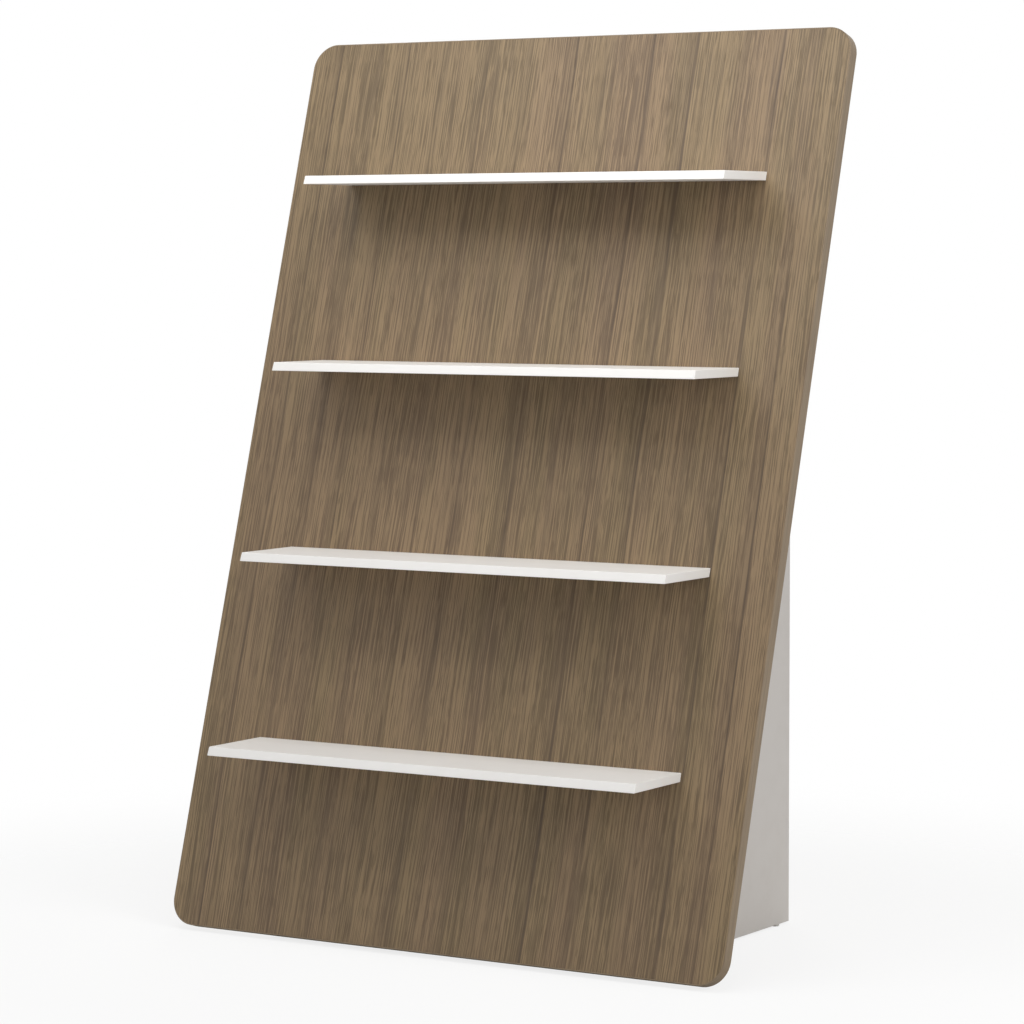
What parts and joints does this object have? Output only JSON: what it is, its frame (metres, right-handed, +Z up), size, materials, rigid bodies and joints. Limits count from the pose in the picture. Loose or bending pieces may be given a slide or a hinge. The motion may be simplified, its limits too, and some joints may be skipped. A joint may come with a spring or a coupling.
{
  "type": "display shelf unit",
  "caption": "Free-standing display unit: a leaning wood-grain panel with round corners and level white shelves, carried from behind by a raked white box support.",
  "frame": {"origin": "on the floor, in the middle of the unit's width and depth", "axes": "+X along the shelves to the viewer's right, +Y from the shelves to the back, +Z up"},
  "size_m": [1.2, 0.7386, 1.7082],
  "materials": {
    "panel_laminate": "matte straight-grain laminate",
    "edge_band": "matte edge strip in the laminate's colour",
    "white_shelf": "white satin-coated board",
    "white_board": "white melamine-faced board",
    "zinc_steel": "bright zinc plating",
    "cast_zinc": "raw zinc casting",
    "cap_plastic": "matte brown",
    "dowel_beech": "raw beech",
    "glide_plastic": "dark moulded plastic"
  },
  "bodies": {
    "root": {"display_panel": "panel_laminate", "panel_edge_band": "edge_band", "shelf_bottom": "white_shelf", "shelf_lower": "white_shelf", "shelf_upper": "white_shelf", "shelf_top": "white_shelf", "gable_left": "white_board", "gable_right": "white_board", "back_board": "white_board", "top_board": "white_board", "shelf_screws": "zinc_steel", "screw_caps": "cap_plastic", "shelf_dowels": "dowel_beech", "cam_bolts": "zinc_steel", "cam_housings": "cast_zinc", "carcass_dowels": "dowel_beech", "floor_glides": "glide_plastic"}
  },
  "joints": []
}
